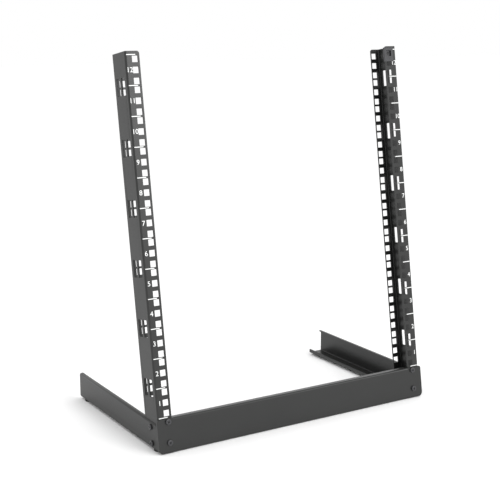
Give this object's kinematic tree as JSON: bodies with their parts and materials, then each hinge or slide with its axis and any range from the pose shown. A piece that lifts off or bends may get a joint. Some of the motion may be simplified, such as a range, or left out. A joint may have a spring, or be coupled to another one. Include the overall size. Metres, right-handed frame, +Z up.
{
  "type": "two post open frame rack",
  "caption": "Open desktop rack frame: leaning channel posts with square mounting holes, joined by a front panel and standing on low channel side arms with rubber feet.",
  "frame": {"origin": "centre of the bounding box at table height, under the four feet", "axes": "+Z up, +X to the right seen from the front, +Y from the front panel to the rear ends of the arms"},
  "size_m": [0.5052, 0.2968, 0.5856],
  "materials": {
    "powder_coat": "semi-gloss black powder coat",
    "black_screw": "black oxide",
    "zinc_steel": "zinc plated",
    "rubber": "matt"
  },
  "bodies": {
    "root": {"left_post": "powder_coat", "right_post": "powder_coat", "left_arm": "powder_coat", "right_arm": "powder_coat", "front_panel": "powder_coat", "front_screw_left_upper": "black_screw", "front_screw_left_lower": "black_screw", "front_screw_right_upper": "black_screw", "front_screw_right_lower": "black_screw", "side_screw_left_upper": "black_screw", "side_screw_left_lower": "black_screw", "side_screw_right_upper": "black_screw", "side_screw_right_lower": "black_screw", "front_nut_left_upper": "zinc_steel", "front_nut_left_lower": "zinc_steel", "front_nut_right_upper": "zinc_steel", "front_nut_right_lower": "zinc_steel", "side_nut_left_upper": "zinc_steel", "side_nut_left_lower": "zinc_steel", "side_nut_right_upper": "zinc_steel", "side_nut_right_lower": "zinc_steel", "front_left_foot": "rubber", "front_right_foot": "rubber", "rear_left_foot": "rubber", "rear_right_foot": "rubber", "clip_nut": "black_screw"}
  },
  "joints": []
}
